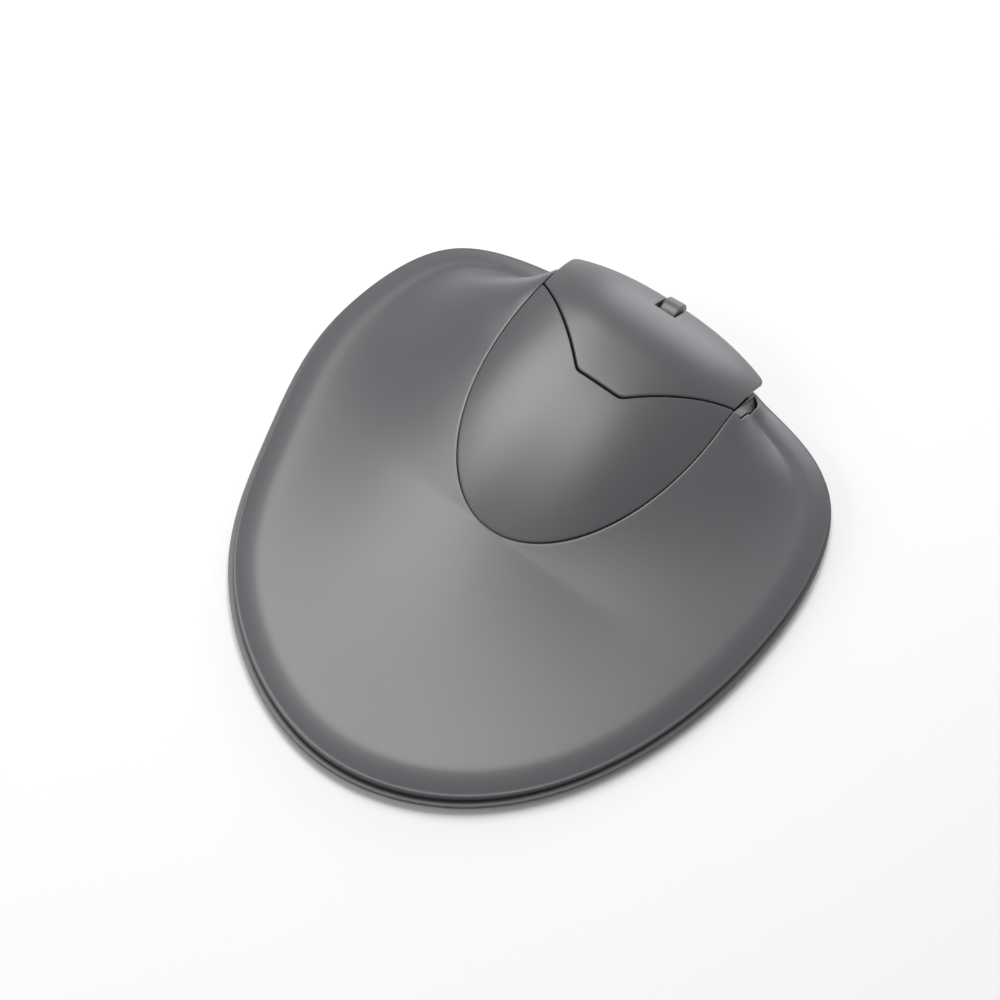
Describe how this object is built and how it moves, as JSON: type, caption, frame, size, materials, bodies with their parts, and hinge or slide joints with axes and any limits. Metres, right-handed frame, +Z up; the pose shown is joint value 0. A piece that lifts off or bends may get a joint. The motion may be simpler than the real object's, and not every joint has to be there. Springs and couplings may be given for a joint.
{
  "type": "computer mouse",
  "caption": "Cordless ergonomic mouse with a low rounded body, a one-piece rocking button plate, a scroll wheel and a wide flat palm wing all round it.",
  "frame": {"origin": "on the desk under the middle of the wing's bounding box", "axes": "+Y the way the mouse points, +X its right side, +Z up"},
  "size_m": [0.1764, 0.1945, 0.0287],
  "materials": {
    "wing_plastic": "satin",
    "shell_plastic": "satin",
    "pan_plastic": "satin",
    "frame_plastic": "moulded",
    "foot_ptfe": "smooth",
    "screw_steel": "zinc plated",
    "pin_steel": "ground",
    "wheel_plastic": "satin",
    "tyre_rubber": "soft",
    "board_laminate": "solder mask",
    "switch_plastic": "moulded",
    "stem_plastic": "moulded",
    "chip_epoxy": "moulded",
    "crystal_metal": "satin",
    "lens_clear": "clear",
    "cell_wrap": "film",
    "contact_metal": "nickel plated"
  },
  "bodies": {
    "body": {"base_pan": "pan_plastic", "wing_skin": "wing_plastic", "glide_feet": "foot_ptfe", "wing_screws": "screw_steel", "body_frame": "frame_plastic", "rear_cover": "shell_plastic", "plate_pin": "pin_steel", "cover_screws": "screw_steel", "frame_screws": "screw_steel", "wheel_switch": "switch_plastic", "circuit_board": "board_laminate", "board_screws": "screw_steel", "left_switch": "switch_plastic", "right_switch": "switch_plastic", "radio_chip": "chip_epoxy", "clock_crystal": "crystal_metal", "sensor_chip": "chip_epoxy", "sensor_lens": "lens_clear", "battery_cell": "cell_wrap", "battery_contacts": "contact_metal", "power_switch": "switch_plastic", "pairing_switch": "switch_plastic"},
    "buttons": {"button_plate": "shell_plastic"},
    "left_stem": {"left_plunger": "stem_plastic"},
    "right_stem": {"right_plunger": "stem_plastic"},
    "wheel_fork": {"wheel_carrier": "switch_plastic", "wheel_encoder": "switch_plastic"},
    "scroll_wheel": {"wheel_hub": "wheel_plastic", "wheel_tyre": "tyre_rubber"},
    "wheel_stem": {"wheel_plunger": "stem_plastic"},
    "power_thumb": {"power_slider": "stem_plastic"},
    "pairing": {"pairing_button": "stem_plastic"},
    "door": {"battery_door": "pan_plastic"}
  },
  "joints": [
    {"name": "button_rock", "type": "hinge", "parent": "body", "child": "buttons", "pos_m": [0.0043, 0, 0.02], "axis": [0, 1, 0], "range_deg": [-1, 1], "stiffness_Nm_per_rad": 0.6},
    {"name": "left_click", "type": "slide", "parent": "body", "child": "left_stem", "axis": [0, 0, 1], "range_m": [-0.0006, 0.0006]},
    {"name": "right_click", "type": "slide", "parent": "body", "child": "right_stem", "axis": [0, 0, 1], "range_m": [-0.0006, 0.0006]},
    {"name": "wheel_press", "type": "slide", "parent": "body", "child": "wheel_fork", "axis": [0, 0, 1], "range_m": [-0.0006, 0], "stiffness_N_per_m": 900},
    {"name": "wheel_spin", "type": "hinge", "parent": "wheel_fork", "child": "scroll_wheel", "pos_m": [0.0043, 0.0895, 0.0148], "axis": [1, 0, 0], "continuous": true},
    {"name": "wheel_click", "type": "slide", "parent": "body", "child": "wheel_stem", "axis": [0, 0, 1], "range_m": [-0.0007, 0.0001]},
    {"name": "power_slide", "type": "slide", "parent": "body", "child": "power_thumb", "axis": [0, 1, 0], "range_m": [0, 0.002]},
    {"name": "pairing_press", "type": "slide", "parent": "body", "child": "pairing", "axis": [0, 0, 1], "range_m": [0, 0.0005], "stiffness_N_per_m": 400},
    {"name": "battery_door_hinge", "type": "hinge", "parent": "body", "child": "door", "pos_m": [0.0043, 0.04415, 0.0019], "axis": [1, 0, 0], "range_deg": [0, 90]}
  ],
  "couplings": [
    {"joint": "left_click", "follows": "button_rock", "m_per_rad": 0.024},
    {"joint": "right_click", "follows": "button_rock", "m_per_rad": -0.024},
    {"joint": "wheel_click", "follows": "wheel_press", "ratio": 1}
  ]
}
